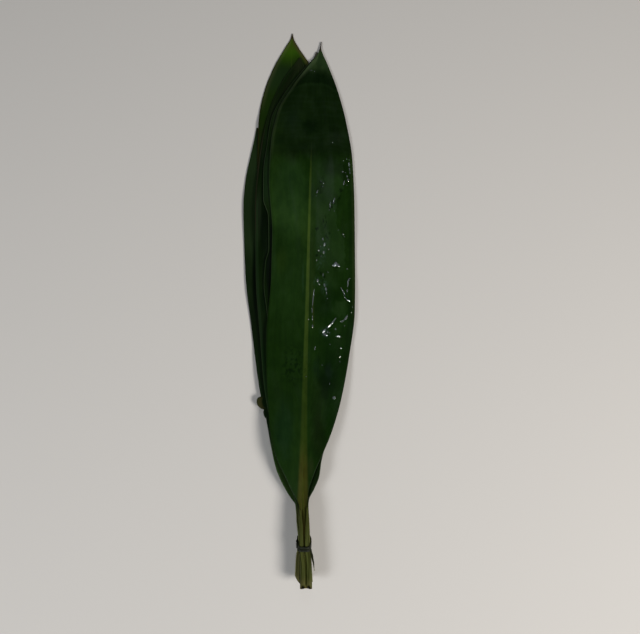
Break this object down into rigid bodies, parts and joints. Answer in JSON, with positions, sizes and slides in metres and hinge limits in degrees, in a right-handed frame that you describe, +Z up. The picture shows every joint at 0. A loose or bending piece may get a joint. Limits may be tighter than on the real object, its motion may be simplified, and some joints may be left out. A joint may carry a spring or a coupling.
{
  "type": "bunch of cordyline leaves",
  "caption": "Tied bunch of long pointed cordyline leaves lying flat on one another, their cut petioles held together by a rubber band.",
  "frame": {"origin": "on the surface that the bunch lies on, under the middle of its box", "axes": "+Z up, away from the surface, front leaf on top; +Y along the leaves from the cut petioles to the tips; +X to the right of the front leaf seen from above with its tip up"},
  "size_m": [0.1211, 0.606, 0.0257],
  "materials": {
    "leaf_front": "glossy waxy green leaf",
    "leaf_second": "glossy dark green leaf",
    "leaf_third": "dull dark green leaf",
    "leaf_fourth": "satin yellow-green leaf",
    "leaf_back": "satin dark green leaf",
    "rubber_band": "matt black rubber"
  },
  "bodies": {
    "root": {"leaf_front": "leaf_front", "leaf_second": "leaf_second", "leaf_third": "leaf_third", "leaf_fourth": "leaf_fourth", "leaf_back": "leaf_back", "rubber_band": "rubber_band"}
  },
  "joints": []
}
